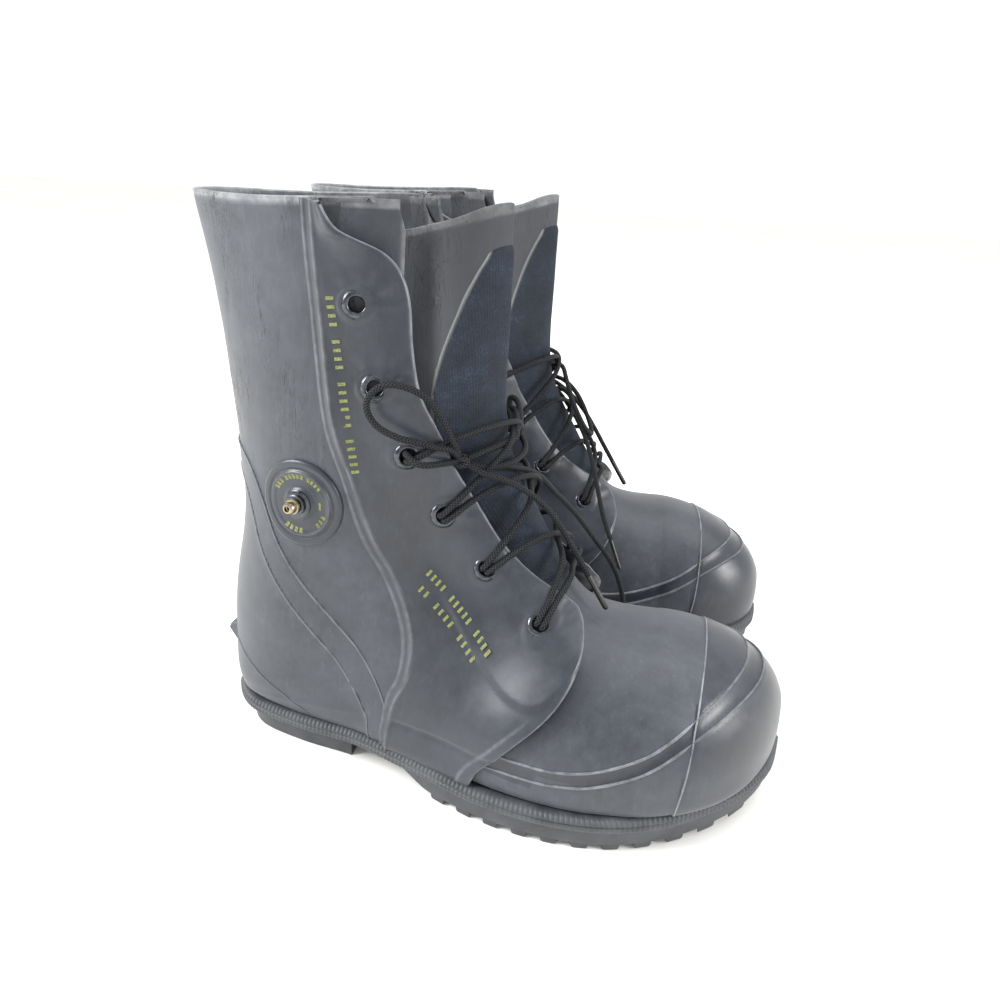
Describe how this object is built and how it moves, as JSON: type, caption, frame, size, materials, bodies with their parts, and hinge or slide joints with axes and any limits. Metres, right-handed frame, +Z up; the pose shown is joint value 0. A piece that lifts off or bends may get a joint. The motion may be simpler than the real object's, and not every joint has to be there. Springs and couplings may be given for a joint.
{
  "type": "insulated rubber boots",
  "caption": "Lace-up insulated rubber work boots with lifted eyelet facings, folded gussets, lugged soles, heel ledges and a turning air valve on each outer side.",
  "frame": {"origin": "on the floor at the middle of the pair's bounding box, laces left out", "axes": "+X towards the toes of the right boot, +Y from the right boot to the left boot, +Z up"},
  "size_m": [0.3155, 0.3105, 0.287],
  "materials": {
    "upper_rubber": "dusty satin",
    "sole_rubber": "matt",
    "gusset_rubber": "dusty matt",
    "gusset_fabric": "rubberised weave",
    "wool_felt": "felt",
    "lining_rubber": "matt",
    "insole_felt": "felt",
    "shank_steel": "rolled",
    "eyelet_metal": "blackened satin",
    "valve_brass": "dulled plate",
    "lace_cord": "braided",
    "lace_tip": "gloss"
  },
  "bodies": {
    "right_boot": {"right_vamp": "upper_rubber", "right_toe_cap": "upper_rubber", "right_ridge_band": "upper_rubber", "right_foxing": "upper_rubber", "right_outer_facing": "upper_rubber", "right_inner_facing": "upper_rubber", "right_outer_quarter": "upper_rubber", "right_inner_quarter": "upper_rubber", "right_counter_stay": "upper_rubber", "right_heel_counter": "upper_rubber", "right_gusset": "gusset_rubber", "right_gusset_patch": "gusset_fabric", "right_heel_ledge": "upper_rubber", "right_welt": "sole_rubber", "right_outsole": "sole_rubber", "right_heel_block": "sole_rubber", "right_felt": "wool_felt", "right_lining": "lining_rubber", "right_insole": "insole_felt", "right_shank": "shank_steel", "right_outer_eyelets": "eyelet_metal", "right_inner_eyelets": "eyelet_metal", "right_eyelet_backs": "eyelet_metal", "right_valve_disc": "upper_rubber", "right_valve_body": "valve_brass", "right_lace": "lace_cord", "right_lace_bow": "lace_cord", "right_lace_tips": "lace_tip"},
    "left_boot": {"left_vamp": "upper_rubber", "left_toe_cap": "upper_rubber", "left_ridge_band": "upper_rubber", "left_foxing": "upper_rubber", "left_outer_facing": "upper_rubber", "left_inner_facing": "upper_rubber", "left_outer_quarter": "upper_rubber", "left_inner_quarter": "upper_rubber", "left_counter_stay": "upper_rubber", "left_heel_counter": "upper_rubber", "left_gusset": "gusset_rubber", "left_gusset_patch": "gusset_fabric", "left_heel_ledge": "upper_rubber", "left_welt": "sole_rubber", "left_outsole": "sole_rubber", "left_heel_block": "sole_rubber", "left_felt": "wool_felt", "left_lining": "lining_rubber", "left_insole": "insole_felt", "left_shank": "shank_steel", "left_outer_eyelets": "eyelet_metal", "left_inner_eyelets": "eyelet_metal", "left_eyelet_backs": "eyelet_metal", "left_valve_disc": "upper_rubber", "left_valve_body": "valve_brass", "left_lace": "lace_cord", "left_lace_bow": "lace_cord", "left_lace_tips": "lace_tip"},
    "right_stem": {"right_valve_stem": "valve_brass"},
    "left_stem": {"left_valve_stem": "valve_brass"}
  },
  "joints": [
    {"name": "left_boot_apart", "type": "slide", "parent": "right_boot", "child": "left_boot", "axis": [0, 1, 0], "range_m": [0, 0.3]},
    {"name": "right_valve_turn", "type": "hinge", "parent": "right_boot", "child": "right_stem", "pos_m": [-0.08782, -0.12302, 0.14799], "axis": [-0.1882, -0.9815, 0.0356], "range_deg": [0, 180]},
    {"name": "left_valve_turn", "type": "hinge", "parent": "left_boot", "child": "left_stem", "pos_m": [-0.09774, 0.10246, 0.14799], "axis": [-0.323, 0.9457, 0.0356], "range_deg": [0, 180]}
  ]
}
